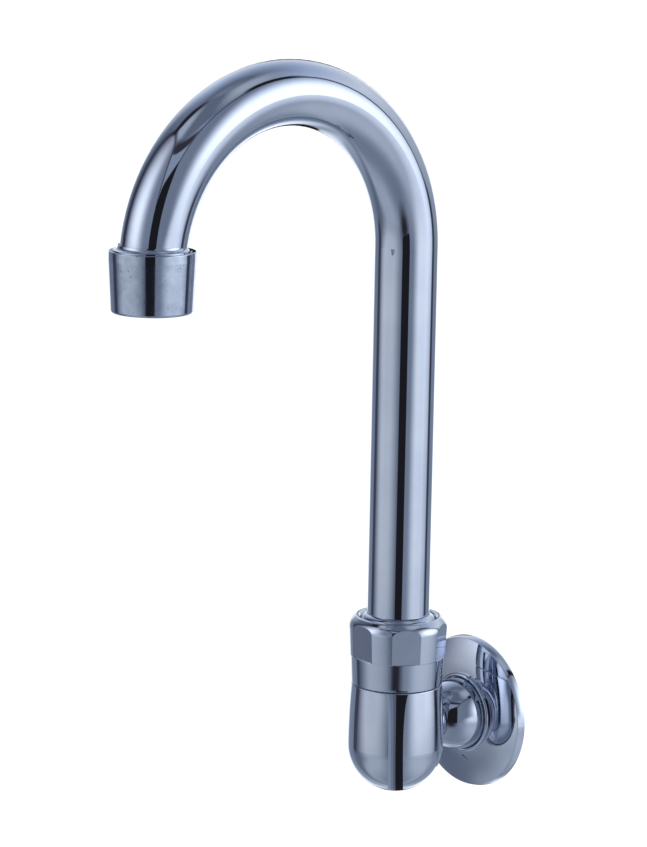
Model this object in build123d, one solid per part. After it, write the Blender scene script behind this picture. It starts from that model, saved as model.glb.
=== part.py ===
from build123d import *
import math
import os

# A wall-mounted swivel gooseneck faucet, in millimetres.
# The origin is on the inlet's axis in the plane of the wall, +Z is up and the faucet stands out
# towards -Y. The spout turns about a vertical axis in front of the wall and points straight out.

# ---------------------------------------------------------------- driving sizes

# Overall layout
swivel_from_wall = 37.0      # wall to the vertical axis of body and spout
bend_centre_height = 172.0   # inlet axis to the centre of the gooseneck's bend
bend_radius = 55.0           # centre line, 2.5 tube diameters

# Gooseneck tube
tube_diameter = 22.0
tube_wall = 1.0

# Clearances
running_clearance = 0.06     # radial, between pieces that turn in each other
thread_clearance = 0.05      # radial, between a male and a female thread
seat_gap = 0.05              # axial, between pieces stacked on each other
slip_clearance = 0.1         # radial, between pieces that are only slid together
braze_gap = 0.05             # radial, between the tube and what is brazed to it

# Swivel joint, from the tube outwards
lip_clearance = 0.5          # tube to the nut's retaining lip
collar_grip = 1.3            # how far the spout's collar reaches under the lip
collar_clearance = 0.25      # collar to the nut's thread
neck_wall = 2.55             # wall of the body's threaded neck
neck_length = 13.0
thrust_washer_thickness = 1.0
collar_thickness = 2.5
glide_ring_thickness = 1.0
glide_ring_split = 1.6
bush_spigot_length = 10.0    # part of the bush inside the tube
bush_stem_length = 22.0      # part of the bush inside the body
bush_end_gap = 1.6           # end of the bush to the bottom of the body's bore
bush_bore_radius = 7.5
bush_chamfer = 1.0
seal_section = 1.65          # diameter of the two round seals
seal_squeeze = 0.1           # by how much a seal stays inside the body's bore
seal_groove_width = 2.3
seal_depths = (6.0, 15.0)    # collar to the middle of each seal groove

# Spout nut
skirt_wall = 3.05            # at the parting line
skirt_flare = 0.45           # growth of the skirt's radius from the parting line to the hexagon
skirt_length = 10.0
hexagon_step = 0.55          # the flats' feet lie this far inside the skirt's top radius
land_step = 0.25             # the round lands between them start this far outside it
hexagon_draft = 2.8          # degrees, flats and lands both widen upwards
hexagon_turn = 29.0          # degrees from straight out to the middle of the nearest land
lip_thickness = 3.4
crest_rise = 3.75            # retaining lip to the crest circle
crest_width = 1.4            # the crest circle lies this far outside the cover ring's seat
crest_round = 1.3            # between the crest and the cover ring's seat
dome_radius = 40.0           # of the nearly straight arc from the crest to the shoulder
dome_fall = 42.0             # degrees, slope of the dome at the crest
shoulder_round = 4.0         # between the dome and the lands
cover_ring_wall = 2.0
cover_ring_edge = 2.1        # height of the ring's outer edge above its seat
cover_ring_rise = 0.3        # how far its inner edge stands above the nut's crest

# Body
parting_height = 16.5        # inlet axis to the line between body and nut
parting_gap = 0.2
parting_round = 0.35
belly = 0.9                  # growth of the body's radius from the parting line to its widest
belly_height = -5.9          # height of the widest circle, where the round end starts
chamber_radius = 9.0
chamber_floor = -5.5
chamber_taper = 2.5          # height of the cone under the chamber
waterway_radius = 5.0

# Arm and inlet
inlet_thread_radius = 10.478 # G 1/2
inlet_length = 12.5          # thread behind the wall
inlet_bore_radius = 6.2
inlet_relief = 1.1           # depth of the plain neck between the two threads
inlet_relief_length = 3.0
inlet_key = 12.0             # hexagon for the fitting key, across flats
inlet_key_depth = 10.0
inlet_chamfer = 1.0
socket_depth = 9.0           # female thread in the arm
inlet_seal_thickness = 1.0
arm_wall = 2.35              # around the female thread
arm_back = 2.5               # wall to the arm's rear face
arm_shoulder = 7.0           # wall to where the arm starts to round off like a ball
arm_front = 19.0             # wall to the small end of the rounded arm
arm_taper = 5.5              # by how much the arm's radius shrinks as it rounds off
arm_neck_step = 0.3          # neck between arm and bulb, below the arm's small end

# Wall flange
flange_radius = 27.5
flange_rim = 3.0             # height of the rim above the wall
flange_rim_draft = 0.6       # by how much the rim's rounded side draws in
flange_rim_round = 0.2
flange_height = 5.0          # wall to the crown at the foot of the bead
flange_crown = 0.45          # by how much the crown bulges between rim and bead
bead_radius = 0.75           # section radius of the bead round the arm
bead_height = 1.3            # bead's top above the crown
gasket_thickness = 2.0
gasket_width = 9.0
gasket_inset = 2.0           # flange rim to the gasket's recess

# Outlet and aerator
ferrule_wall = 1.0           # wall of the threaded ferrule round the tube
ferrule_collar = 0.9         # its collar stands out this far
ferrule_collar_height = 2.0
ferrule_flare = 1.9          # height of the collar's hollow slope
ferrule_edge = 0.3           # straight edge of the collar above the shell
ferrule_lip = 0.2            # wall of the slope's thin end on the tube
ferrule_floor = 1.1          # ring under the tube's end
shell_lead = 6.35            # height of the shell's top above the end of the bend
shell_wall = 2.2             # round the thread
shell_straight = 3.0         # cylindrical length at the top
shell_taper = 0.85           # by how much the radius shrinks towards the outlet
shell_top_round = 0.35
shell_bottom_round = 0.9
aerator_gasket_thickness = 1.5
aerator_rim_thickness = 1.2
aerator_rim_width = 0.9
aerator_recess = 1.0         # outlet edge of the shell to the insert
aerator_housing_wall = 1.0
aerator_floor_thickness = 1.0
aerator_floor_width = 0.6
grid_thickness = 2.0
grid_rim_height = 2.5
grid_cell = 2.0              # honeycomb cell, across flats
grid_web = 0.4
mesh_thickness = 0.4
mesh_pitch = 1.9
mesh_hole = 1.3
jet_plate_thickness = 1.0
jet_plate_height = 2.2
jet_radius = 0.6
jet_rings = ((12, 7.0), (6, 3.6))  # number of jets and radius of each ring
regulator_thickness = 1.6
regulator_slots = 6
regulator_slot_ring = 7.4    # radius of the ring of slots
regulator_plate_thickness = 1.2
regulator_groove = 0.5
regulator_slot_radius = 0.9
regulator_ring_radius = 5.2
regulator_ring_section = 1.2
screen_thickness = 0.6
screen_rim_height = 1.3
screen_hole = 1.6
screen_pitch = 2.3
insert_rim_width = 0.8       # rim of each stacked plate in the housing
insert_overlap = 0.2         # how far a plate reaches into its rim
insert_headroom = 0.9        # top screen to the rim of the housing

# ---------------------------------------------------------------- sizes that follow

swivel_axis = Location((0, -swivel_from_wall, 0))
outlet_axis = Location((0, -swivel_from_wall - 2 * bend_radius, 0))

tube_radius = tube_diameter / 2
tube_bore_radius = tube_radius - tube_wall

lip_radius = tube_radius + lip_clearance
collar_radius = lip_radius + collar_grip
nut_thread_radius = collar_radius + collar_clearance
neck_radius = nut_thread_radius - thread_clearance
body_bore_radius = neck_radius - neck_wall
stem_radius = body_bore_radius - running_clearance
seal_groove_radius = body_bore_radius - seal_squeeze - seal_section - braze_gap
washer_radius = collar_radius + collar_clearance / 2

neck_top = parting_height + neck_length
thrust_washer_base = neck_top + seat_gap
collar_base = thrust_washer_base + thrust_washer_thickness + seat_gap
collar_top = collar_base + collar_thickness
stem_base = collar_base - bush_stem_length
chamber_top = stem_base - bush_end_gap
glide_ring_base = collar_top + seat_gap
lip_base = glide_ring_base + glide_ring_thickness + seat_gap
lip_top = lip_base + lip_thickness
crest_height = lip_top + crest_rise

skirt_base = parting_height + parting_gap
skirt_radius = nut_thread_radius + skirt_wall
skirt_top_radius = skirt_radius + skirt_flare
hexagon_base = skirt_base + skirt_length
hexagon_flat_radius = skirt_top_radius - hexagon_step
cover_ring_radius = tube_radius + cover_ring_wall
cover_seat_radius = cover_ring_radius + slip_clearance
crest_radius = cover_seat_radius + crest_width

belly_radius = skirt_radius + belly
body_floor = belly_height - belly_radius

socket_radius = inlet_thread_radius + thread_clearance
socket_end = arm_back + socket_depth
inlet_front = socket_end - inlet_seal_thickness - seat_gap
arm_radius = socket_radius + arm_wall
arm_small_radius = arm_radius - arm_taper
arm_neck_radius = arm_small_radius - arm_neck_step

flange_hole_radius = arm_radius + slip_clearance
bead_foot_radius = flange_hole_radius + 2 * bead_radius
gasket_outer_radius = flange_radius - gasket_inset
gasket_inner_radius = gasket_outer_radius - gasket_width

bend_end = bend_centre_height
ferrule_thread_radius = tube_radius + ferrule_wall
ferrule_collar_radius = ferrule_thread_radius + ferrule_collar
ferrule_base = bend_end - ferrule_floor
shell_top = bend_end + shell_lead
shell_thread_radius = ferrule_thread_radius + thread_clearance
shell_radius = shell_thread_radius + shell_wall
shell_base_radius = shell_radius - shell_taper
ferrule_collar_base = shell_top - ferrule_collar_height
aerator_gasket_base = ferrule_base - seat_gap - aerator_gasket_thickness
aerator_rim_top = aerator_gasket_base - seat_gap
shell_ledge = aerator_rim_top - aerator_rim_thickness
aerator_rim_radius = ferrule_thread_radius - slip_clearance
housing_radius = aerator_rim_radius - aerator_rim_width
housing_bore_radius = housing_radius - aerator_housing_wall
insert_radius = housing_bore_radius - slip_clearance
insert_bore_radius = insert_radius - insert_rim_width
screen_base = aerator_rim_top - insert_headroom - screen_rim_height
regulator_base = screen_base - seat_gap - regulator_thickness
jet_plate_base = regulator_base - seat_gap - jet_plate_height
mesh_base = jet_plate_base - seat_gap - mesh_thickness
grid_base = mesh_base - seat_gap - grid_rim_height
housing_base = grid_base - seat_gap - aerator_floor_thickness
shell_base = housing_base - aerator_recess


# ---------------------------------------------------------------- shared operations

def turned(face, place):
    """Solid of revolution about a vertical axis, from a face drawn as radius and height."""
    return place * revolve(Plane.XZ * face, Axis.Z)


def turned_on_arm(face):
    """Solid of revolution about the inlet's axis, from a face drawn as radius and Y."""
    return revolve(face, Axis.Y)


def outline(*points):
    """Face with straight sides."""
    return make_face(Polyline(*points, close=True))


def eased(face, corners, radius):
    """The face with the corners at the given points rounded."""
    def nearest(corner):
        return min(face.vertices(), key=lambda vertex: (Vector(*corner) - Vector(vertex)).length)
    return fillet([nearest(corner) for corner in corners], radius)


def ring(inner_radius, outer_radius, base, height, place):
    """Plain ring round a vertical axis."""
    section = Circle(outer_radius) - Circle(inner_radius)
    return place * Pos(0, 0, base) * extrude(section, height)


def disc(radius, base, height, place):
    """Plain disc on a vertical axis."""
    return place * Pos(0, 0, base) * extrude(Circle(radius), height)


def rod_to_front(radius, back, length):
    """Round bar on the inlet's axis that runs from Y = -back towards the front."""
    return Pos(0, -back, 0) * Rot(90, 0, 0) * extrude(Circle(radius), length)


def round_ring(centre_radius, section_radius, height, place):
    """Ring of round section, such as a seal."""
    return place * Pos(0, 0, height) * Torus(centre_radius, section_radius)


def centres_inside(locations, reach):
    """The locations whose centre is no further than reach from the middle."""
    return [spot for spot in locations if spot.position.length <= reach]


def gooseneck(radius, foot):
    """Solid bar of the spout's route, from a foot on the swivel axis to the end of the bend."""
    leg = disc(radius, foot, bend_centre_height - foot, swivel_axis)
    section = Pos(0, -swivel_from_wall, bend_centre_height) * Circle(radius)
    bend_axis = Axis((0, -swivel_from_wall - bend_radius, bend_centre_height), (1, 0, 0))
    return leg + revolve(section, bend_axis, 180)


# ---------------------------------------------------------------- fixed to the wall

def make_body():
    """Cast elbow: bulb with a round end, arm to the wall, threaded neck and waterway."""
    lowest = (0, body_floor)
    widest = (belly_radius, belly_height)
    parting = (skirt_radius, parting_height)
    round_end = CenterArc((0, belly_height), belly_radius, -90, 90)
    flank = TangentArc(widest, parting, tangent=(0, 1))
    neck = Polyline(
        parting,
        (neck_radius, parting_height),
        (neck_radius, neck_top),
        (0, neck_top),
        lowest,
    )
    bulb = turned(eased(make_face(round_end + flank + neck), [parting], parting_round), swivel_axis)

    small_end = (arm_small_radius, -arm_front)
    large_end = (arm_radius, -arm_shoulder)
    back_corner = (arm_radius, -arm_back)
    barrel = TangentArc(large_end, small_end, tangent=(0, -1))
    back = Polyline(large_end, back_corner, (0, -arm_back), (0, -swivel_from_wall))
    front = Polyline(
        (0, -swivel_from_wall),
        (arm_neck_radius, -swivel_from_wall),
        (arm_neck_radius, -arm_front),
        small_end,
    )
    arm = turned_on_arm(make_face(barrel + back + front))

    socket = disc(body_bore_radius, chamber_top, neck_top - chamber_top, swivel_axis)
    chamber = outline(
        (0, chamber_top),
        (chamber_radius, chamber_top),
        (chamber_radius, chamber_floor),
        (waterway_radius, chamber_floor - chamber_taper),
        (0, chamber_floor - chamber_taper),
    )
    waterway = rod_to_front(waterway_radius, arm_back, swivel_from_wall - arm_back)
    thread = rod_to_front(socket_radius, arm_back, socket_depth)
    return bulb + arm - socket - turned(chamber, swivel_axis) - waterway - thread


def make_inlet_nipple():
    """Threaded nipple between the wall pipe and the arm, with a hexagon for the fitting key."""
    front = -inlet_front
    relief_radius = inlet_thread_radius - inlet_relief
    face = outline(
        (inlet_bore_radius, front),
        (inlet_thread_radius - inlet_chamfer, front),
        (inlet_thread_radius, front + inlet_chamfer),
        (inlet_thread_radius, -inlet_relief_length),
        (relief_radius, -inlet_relief_length),
        (relief_radius, 0),
        (inlet_thread_radius, 0),
        (inlet_thread_radius, inlet_length - inlet_chamfer),
        (inlet_thread_radius - inlet_chamfer, inlet_length),
        (inlet_bore_radius, inlet_length),
    )
    key = RegularPolygon(inlet_key / 2, 6, major_radius=False)
    key_hole = Pos(0, front + inlet_key_depth, 0) * Rot(90, 0, 0) * extrude(key, inlet_key_depth)
    return turned_on_arm(face) - key_hole


def make_nipple_seal():
    """Flat seal between the nipple's end and the bottom of the arm's thread."""
    outer_radius = socket_radius - slip_clearance
    inner_radius = waterway_radius + slip_clearance
    seal = rod_to_front(outer_radius, inlet_front + seat_gap, inlet_seal_thickness)
    return seal - rod_to_front(inner_radius, inlet_front + seat_gap, inlet_seal_thickness)


def make_wall_flange():
    """Round escutcheon: rim on the wall, shallow crown and a raised bead round the arm."""
    rim_foot = (flange_radius, 0)
    rim_edge = (flange_radius - flange_rim_draft, -flange_rim)
    bead_foot = (bead_foot_radius, -flange_height)
    bead_top = (flange_hole_radius + bead_radius, -flange_height - bead_height)
    bead_inner = (flange_hole_radius, -flange_height - bead_height + bead_radius)
    crown_middle = (
        (rim_edge[0] + bead_foot[0]) / 2,
        (rim_edge[1] + bead_foot[1]) / 2 - flange_crown,
    )
    rim = TangentArc(rim_foot, rim_edge, tangent=(0, -1))
    crown = ThreePointArc(rim_edge, crown_middle, bead_foot)
    bead_side = Line(bead_foot, (bead_foot_radius, bead_inner[1]))
    bead = ThreePointArc((bead_foot_radius, bead_inner[1]), bead_top, bead_inner)
    recess = Polyline(
        bead_inner,
        (flange_hole_radius, -gasket_thickness - seat_gap),
        (gasket_outer_radius + slip_clearance, -gasket_thickness - seat_gap),
        (gasket_outer_radius + slip_clearance, 0),
        rim_foot,
    )
    face = make_face(rim + crown + bead_side + bead + recess)
    return turned_on_arm(eased(face, [rim_edge], flange_rim_round))


def make_flange_gasket():
    """Foam ring in the flange's recess."""
    gasket = rod_to_front(gasket_outer_radius, 0, gasket_thickness)
    return gasket - rod_to_front(gasket_inner_radius, 0, gasket_thickness)


def make_spout_nut():
    """Round nut with a skirt below and six flats above, which widens up to a domed shoulder."""
    fall = math.radians(dome_fall)
    dome_centre = (
        crest_radius - dome_radius * math.sin(fall),
        crest_height - dome_radius * math.cos(fall),
    )
    inner_angle = math.degrees(math.acos((cover_seat_radius - dome_centre[0]) / dome_radius))
    dome = CenterArc(dome_centre, dome_radius, 0, inner_angle)
    crest_corner = (cover_seat_radius, (dome @ 1).Y)
    sides = Polyline(
        dome @ 1,
        (cover_seat_radius, lip_top),
        (0, lip_top),
        (0, hexagon_base),
        (dome_centre[0] + dome_radius, hexagon_base),
        dome @ 0,
    )
    head_height = crest_corner[1] - hexagon_base
    land_foot = (skirt_top_radius + land_step, hexagon_base)
    land_top = (land_foot[0] + head_height * math.tan(math.radians(hexagon_draft)), crest_corner[1])
    lands = outline((0, hexagon_base), land_foot, land_top, (0, land_top[1]))
    profile = eased(make_face(dome + sides) & lands, [crest_corner], crest_round)
    shoulder = (land_top[0], lip_top)
    round_head = turned(eased(profile, [shoulder], shoulder_round), swivel_axis)

    flats = RegularPolygon(hexagon_flat_radius, 6, major_radius=False, rotation=hexagon_turn - 30)
    hexagon = extrude(flats, head_height, taper=-hexagon_draft)
    head = round_head & swivel_axis * Pos(0, 0, hexagon_base) * hexagon

    skirt_foot = (skirt_radius, skirt_base)
    skirt = eased(
        outline((0, skirt_base), skirt_foot, (skirt_top_radius, hexagon_base), (0, hexagon_base)),
        [skirt_foot],
        parting_round,
    )
    inside = outline(
        (0, skirt_base),
        (nut_thread_radius, skirt_base),
        (nut_thread_radius, lip_base),
        (lip_radius, lip_base),
        (lip_radius, lip_top),
        (0, lip_top),
    )
    return head + turned(skirt, swivel_axis) - turned(inside, swivel_axis)


def make_cover_ring():
    """Convex ring that closes the nut round the tube."""
    bore = tube_radius + running_clearance
    base = lip_top + seat_gap
    outer_edge = (cover_ring_radius, base + cover_ring_edge)
    inner_edge = (bore, crest_height + cover_ring_rise)
    arch = RadiusArc(outer_edge, inner_edge, -cover_ring_wall * 1.5)
    walls = Polyline(inner_edge, (bore, base), (cover_ring_radius, base), outer_edge)
    return turned(make_face(arch + walls), swivel_axis)


def make_glide_ring():
    """Split plastic ring between the nut's lip and the spout's collar."""
    bore = tube_radius + lip_clearance
    whole = ring(bore, washer_radius, glide_ring_base, glide_ring_thickness, swivel_axis)
    split = swivel_axis * Pos(0, -washer_radius, glide_ring_base) * Box(
        glide_ring_split, 2 * washer_radius, 4 * glide_ring_thickness
    )
    return whole - split


def make_thrust_washer():
    """Plastic washer on the body's neck, under the spout's collar."""
    bore = stem_radius + slip_clearance
    return ring(bore, washer_radius, thrust_washer_base, thrust_washer_thickness, swivel_axis)


# ---------------------------------------------------------------- on the swivelling spout

def make_spout_bush():
    """Turned end piece brazed in the tube: spigot, collar and stem with two seal grooves."""
    spigot_radius = tube_bore_radius - braze_gap
    bush = disc(spigot_radius, collar_top, bush_spigot_length, swivel_axis)
    bush += disc(collar_radius, collar_base, collar_thickness, swivel_axis)
    stem = outline(
        (0, stem_base),
        (stem_radius - bush_chamfer, stem_base),
        (stem_radius, stem_base + bush_chamfer),
        (stem_radius, collar_base),
        (0, collar_base),
    )
    bush += turned(stem, swivel_axis)
    for depth in seal_depths:
        middle = collar_base - depth
        bush -= ring(
            seal_groove_radius, belly_radius, middle - seal_groove_width / 2, seal_groove_width, swivel_axis
        )
    length = bush_stem_length + collar_thickness + bush_spigot_length
    return bush - disc(bush_bore_radius, stem_base, length, swivel_axis)


def make_seal(depth):
    """Round seal in one of the bush's grooves."""
    section_radius = seal_section / 2
    centre_radius = body_bore_radius - seal_squeeze - section_radius
    return round_ring(centre_radius, section_radius, collar_base - depth, swivel_axis)


def make_spout_tube():
    """Gooseneck tube: straight leg and half-round bend."""
    return gooseneck(tube_radius, collar_top) - gooseneck(tube_bore_radius, collar_top)


def make_outlet_sleeve():
    """Threaded ferrule brazed round the end of the bend, with a flared collar."""
    collar_edge = (ferrule_collar_radius, shell_top + ferrule_edge)
    lip_edge = (tube_radius + ferrule_lip, shell_top + ferrule_flare)
    flare = TangentArc(lip_edge, collar_edge, tangent=(0, -1))
    sides = Polyline(
        collar_edge,
        (ferrule_collar_radius, ferrule_collar_base),
        (ferrule_thread_radius, ferrule_collar_base),
        (ferrule_thread_radius, ferrule_base),
        (tube_bore_radius, ferrule_base),
        (tube_bore_radius, shell_top + ferrule_flare),
        lip_edge,
    )
    sleeve = turned(make_face(flare + sides), outlet_axis)
    return sleeve - gooseneck(tube_radius + braze_gap, collar_top)


def make_aerator_shell():
    """Tapered screw-on shell that holds the aerator's insert."""
    top_edge = (shell_radius, shell_top)
    base_edge = (shell_base_radius, shell_base)
    collar_bore = ferrule_collar_radius + slip_clearance
    face = outline(
        (collar_bore, shell_top),
        top_edge,
        (shell_radius, shell_top - shell_straight),
        base_edge,
        (housing_radius + slip_clearance, shell_base),
        (housing_radius + slip_clearance, shell_ledge - seat_gap),
        (shell_thread_radius, shell_ledge - seat_gap),
        (shell_thread_radius, ferrule_collar_base - slip_clearance),
        (collar_bore, ferrule_collar_base - slip_clearance),
    )
    face = eased(face, [top_edge], shell_top_round)
    return turned(eased(face, [base_edge], shell_bottom_round), outlet_axis)


def make_aerator_gasket():
    """Flat rubber washer between the ferrule and the insert."""
    base, thickness = aerator_gasket_base, aerator_gasket_thickness
    return ring(tube_bore_radius, aerator_rim_radius, base, thickness, outlet_axis)


def make_aerator_housing():
    """Plastic cup that carries the aerator's plates."""
    floor_radius = housing_bore_radius - aerator_floor_width
    face = outline(
        (floor_radius, housing_base),
        (housing_radius, housing_base),
        (housing_radius, shell_ledge),
        (aerator_rim_radius, shell_ledge),
        (aerator_rim_radius, aerator_rim_top),
        (housing_bore_radius, aerator_rim_top),
        (housing_bore_radius, housing_base + aerator_floor_thickness),
        (floor_radius, housing_base + aerator_floor_thickness),
    )
    return turned(face, outlet_axis)


def rimmed_plate(holes, plate_base, plate_thickness, rim_base, rim_height):
    """Round plate with holes, inside a rim that stacks on its neighbours."""
    plate = Circle(insert_bore_radius + insert_overlap) - holes
    rim = ring(insert_bore_radius, insert_radius, rim_base, rim_height, outlet_axis)
    return rim + outlet_axis * Pos(0, 0, plate_base) * extrude(plate, plate_thickness)


def make_outlet_grid():
    """Honeycomb that straightens the stream."""
    pitch = grid_cell + grid_web
    reach = insert_bore_radius - grid_cell * 0.6
    count = 2 * math.ceil(insert_bore_radius / pitch) + 1
    cell = RegularPolygon(grid_cell / 2, 6, major_radius=False)
    spots = centres_inside(HexLocations(pitch / 2, count, count), reach)
    cells = [spot * cell for spot in spots]
    return rimmed_plate(cells, grid_base, grid_thickness, grid_base, grid_rim_height)


def square_holes(size, pitch, reach):
    """Square holes on a grid, as far out as reach from the middle."""
    count = 2 * math.ceil(reach / pitch) + 1
    spots = centres_inside(GridLocations(pitch, pitch, count, count), reach)
    return [spot * Rectangle(size, size) for spot in spots]


def make_mixing_screen():
    """Wire mesh, drawn as a disc with square holes."""
    holes = square_holes(mesh_hole, mesh_pitch, insert_bore_radius - mesh_hole)
    return outlet_axis * Pos(0, 0, mesh_base) * extrude(Circle(insert_radius) - holes, mesh_thickness)


def make_jet_plate():
    """Plate with two rings of jets, on a rim."""
    jets = [
        spot * Circle(jet_radius)
        for count, ring_radius in jet_rings
        for spot in PolarLocations(ring_radius, count)
    ]
    plate_base = jet_plate_base + jet_plate_height - jet_plate_thickness
    return rimmed_plate(jets, plate_base, jet_plate_thickness, jet_plate_base, jet_plate_height)


def make_regulator_plate():
    """Flow regulator's plate: slots for the water and a groove for its rubber ring."""
    spots = PolarLocations(regulator_slot_ring, regulator_slots)
    slots = [spot * Circle(regulator_slot_radius) for spot in spots]
    plate_thickness = regulator_plate_thickness
    plate = rimmed_plate(slots, regulator_base, plate_thickness, regulator_base, regulator_thickness)
    groove_inner = regulator_ring_radius - regulator_ring_section / 2 - slip_clearance
    groove_outer = regulator_ring_radius + regulator_ring_section / 2 + slip_clearance
    groove_floor = regulator_base + regulator_plate_thickness - regulator_groove
    return plate - ring(groove_inner, groove_outer, groove_floor, 2 * regulator_groove, outlet_axis)


def make_regulator_ring():
    """Rubber ring that narrows the slots as the pressure rises."""
    section_radius = regulator_ring_section / 2
    floor = regulator_base + regulator_plate_thickness - regulator_groove
    return round_ring(regulator_ring_radius, section_radius, floor + section_radius, outlet_axis)


def make_inlet_screen():
    """Coarse plastic screen on top of the insert."""
    holes = square_holes(screen_hole, screen_pitch, insert_bore_radius - screen_hole)
    plate_base = screen_base + screen_rim_height - screen_thickness
    return rimmed_plate(holes, plate_base, screen_thickness, screen_base, screen_rim_height)


pieces = {
    "body": make_body(),
    "inlet_nipple": make_inlet_nipple(),
    "nipple_seal": make_nipple_seal(),
    "wall_flange": make_wall_flange(),
    "flange_gasket": make_flange_gasket(),
    "spout_nut": make_spout_nut(),
    "cover_ring": make_cover_ring(),
    "glide_ring": make_glide_ring(),
    "thrust_washer": make_thrust_washer(),
    "spout_bush": make_spout_bush(),
    "o_ring_upper": make_seal(seal_depths[0]),
    "o_ring_lower": make_seal(seal_depths[1]),
    "spout_tube": make_spout_tube(),
    "outlet_sleeve": make_outlet_sleeve(),
    "aerator_shell": make_aerator_shell(),
    "aerator_gasket": make_aerator_gasket(),
    "aerator_housing": make_aerator_housing(),
    "inlet_screen": make_inlet_screen(),
    "regulator_plate": make_regulator_plate(),
    "regulator_ring": make_regulator_ring(),
    "jet_plate": make_jet_plate(),
    "mixing_screen": make_mixing_screen(),
    "outlet_grid": make_outlet_grid(),
}

os.makedirs("parts", exist_ok=True)
for name, piece in pieces.items():
    export_step(piece, f"parts/{name}.step")
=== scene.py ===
"""Looks of a wall-mounted gooseneck faucet: finishes, a cut thread, a woven screen and a light tent."""

import logging
import math
from dataclasses import dataclass, field
from enum import Enum
from typing import Any

import bmesh
import bpy
from mathutils import Matrix, Quaternion, Vector


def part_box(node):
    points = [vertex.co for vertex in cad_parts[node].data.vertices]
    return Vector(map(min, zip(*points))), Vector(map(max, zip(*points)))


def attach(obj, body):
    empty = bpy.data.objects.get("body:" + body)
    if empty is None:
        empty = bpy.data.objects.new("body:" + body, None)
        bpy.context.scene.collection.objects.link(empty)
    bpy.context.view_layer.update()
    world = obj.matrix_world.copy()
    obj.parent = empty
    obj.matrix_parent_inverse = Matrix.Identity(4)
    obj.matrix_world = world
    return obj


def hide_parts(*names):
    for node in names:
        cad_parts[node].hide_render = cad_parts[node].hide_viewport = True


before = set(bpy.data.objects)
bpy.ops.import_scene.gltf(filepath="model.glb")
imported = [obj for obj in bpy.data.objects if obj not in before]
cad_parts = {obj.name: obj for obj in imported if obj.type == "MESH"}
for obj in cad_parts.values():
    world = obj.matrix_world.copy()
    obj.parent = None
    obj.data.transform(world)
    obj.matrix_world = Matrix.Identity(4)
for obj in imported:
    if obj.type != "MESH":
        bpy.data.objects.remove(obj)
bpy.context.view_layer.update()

log = logging.getLogger("faucet")

MM = 0.001
SWIVEL_FROM_WALL = 37.0 * MM  # wall to the vertical axis of body and spout
OUTLET_FROM_WALL = 147.0 * MM  # wall to the axis of the outlet
BEND_CENTRE_HEIGHT = 172.0 * MM  # inlet axis to the centre of the gooseneck's bend
SHARP_EDGE = math.radians(32.0)  # a new piece is shaded smooth up to this angle
MERGE_DISTANCE = 0.0005 * MM
NO_STRETCH = (1.0, 1.0, 1.0)
SMOOTH = "SMOOTHSTEP"  # how a soft edge fades


class Body(Enum):
    """The two CAD bodies that everything rides on."""

    ELBOW = "elbow"
    SPOUT = "spout"


class Slot(Enum):
    """The record's material slots for brass and for steel mesh."""

    BRASS = "brass"
    STEEL_MESH = "steel_mesh"


class Axis(Enum):
    """The axes that pieces were turned about. Each value is a point on the axis."""

    INLET = (0.0, 0.0, 0.0)
    SWIVEL = (0.0, -SWIVEL_FROM_WALL, 0.0)
    OUTLET = (0.0, -OUTLET_FROM_WALL, 0.0)


class Marks(Enum):
    """What the tool left in the metal before it was plated."""

    BUFFED = "buffed"
    DRAWN = "drawn"
    TURNED = "turned"


def linear(hex_colour: str, alpha: float = 1.0) -> tuple[float, float, float, float]:
    """Turn an sRGB hex colour into Blender's linear one.

    Args:
        hex_colour: Six hex digits after a hash sign.
        alpha: Opacity of the colour.

    Returns:
        Red, green, blue and alpha, linear.
    """
    channels = [int(hex_colour[i : i + 2], 16) / 255 for i in (1, 3, 5)]
    red, green, blue = [c / 12.92 if c <= 0.04045 else ((c + 0.055) / 1.055) ** 2.4 for c in channels]
    return red, green, blue, alpha


def add_node(
    tree: bpy.types.NodeTree, kind: str, inputs: dict[Any, Any] | None = None, **settings: Any
) -> bpy.types.Node:
    """Add a node with its settings and links.

    Args:
        tree: Node tree that gets the node.
        kind: Blender's name for the node's type.
        inputs: Socket name or number to a value, or to an output socket that is linked to it.
        settings: The node's own properties.

    Returns:
        The new node.
    """
    node = tree.nodes.new(kind)
    for name, value in settings.items():
        setattr(node, name, value)
    for name, value in (inputs or {}).items():
        if isinstance(value, bpy.types.NodeSocket):
            tree.links.new(value, node.inputs[name])
        else:
            node.inputs[name].default_value = value
    return node


def new_material(name: str) -> tuple[bpy.types.Material, bpy.types.NodeTree]:
    """Make an empty node material and return it with its tree."""
    material = bpy.data.materials.new(name)
    material.use_nodes = True
    material.node_tree.nodes.clear()
    return material, material.node_tree


def dress(material: bpy.types.Material, *names: str) -> None:
    """Give CAD nodes a material.

    Args:
        material: The finish.
        names: The nodes that get it.
    """
    for name in names:
        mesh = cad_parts[name].data
        mesh.materials.clear()
        mesh.materials.append(material)
        log.info("%s wears %s", name, material.name)


# ---------------------------------------------------------------- finishes


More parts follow.
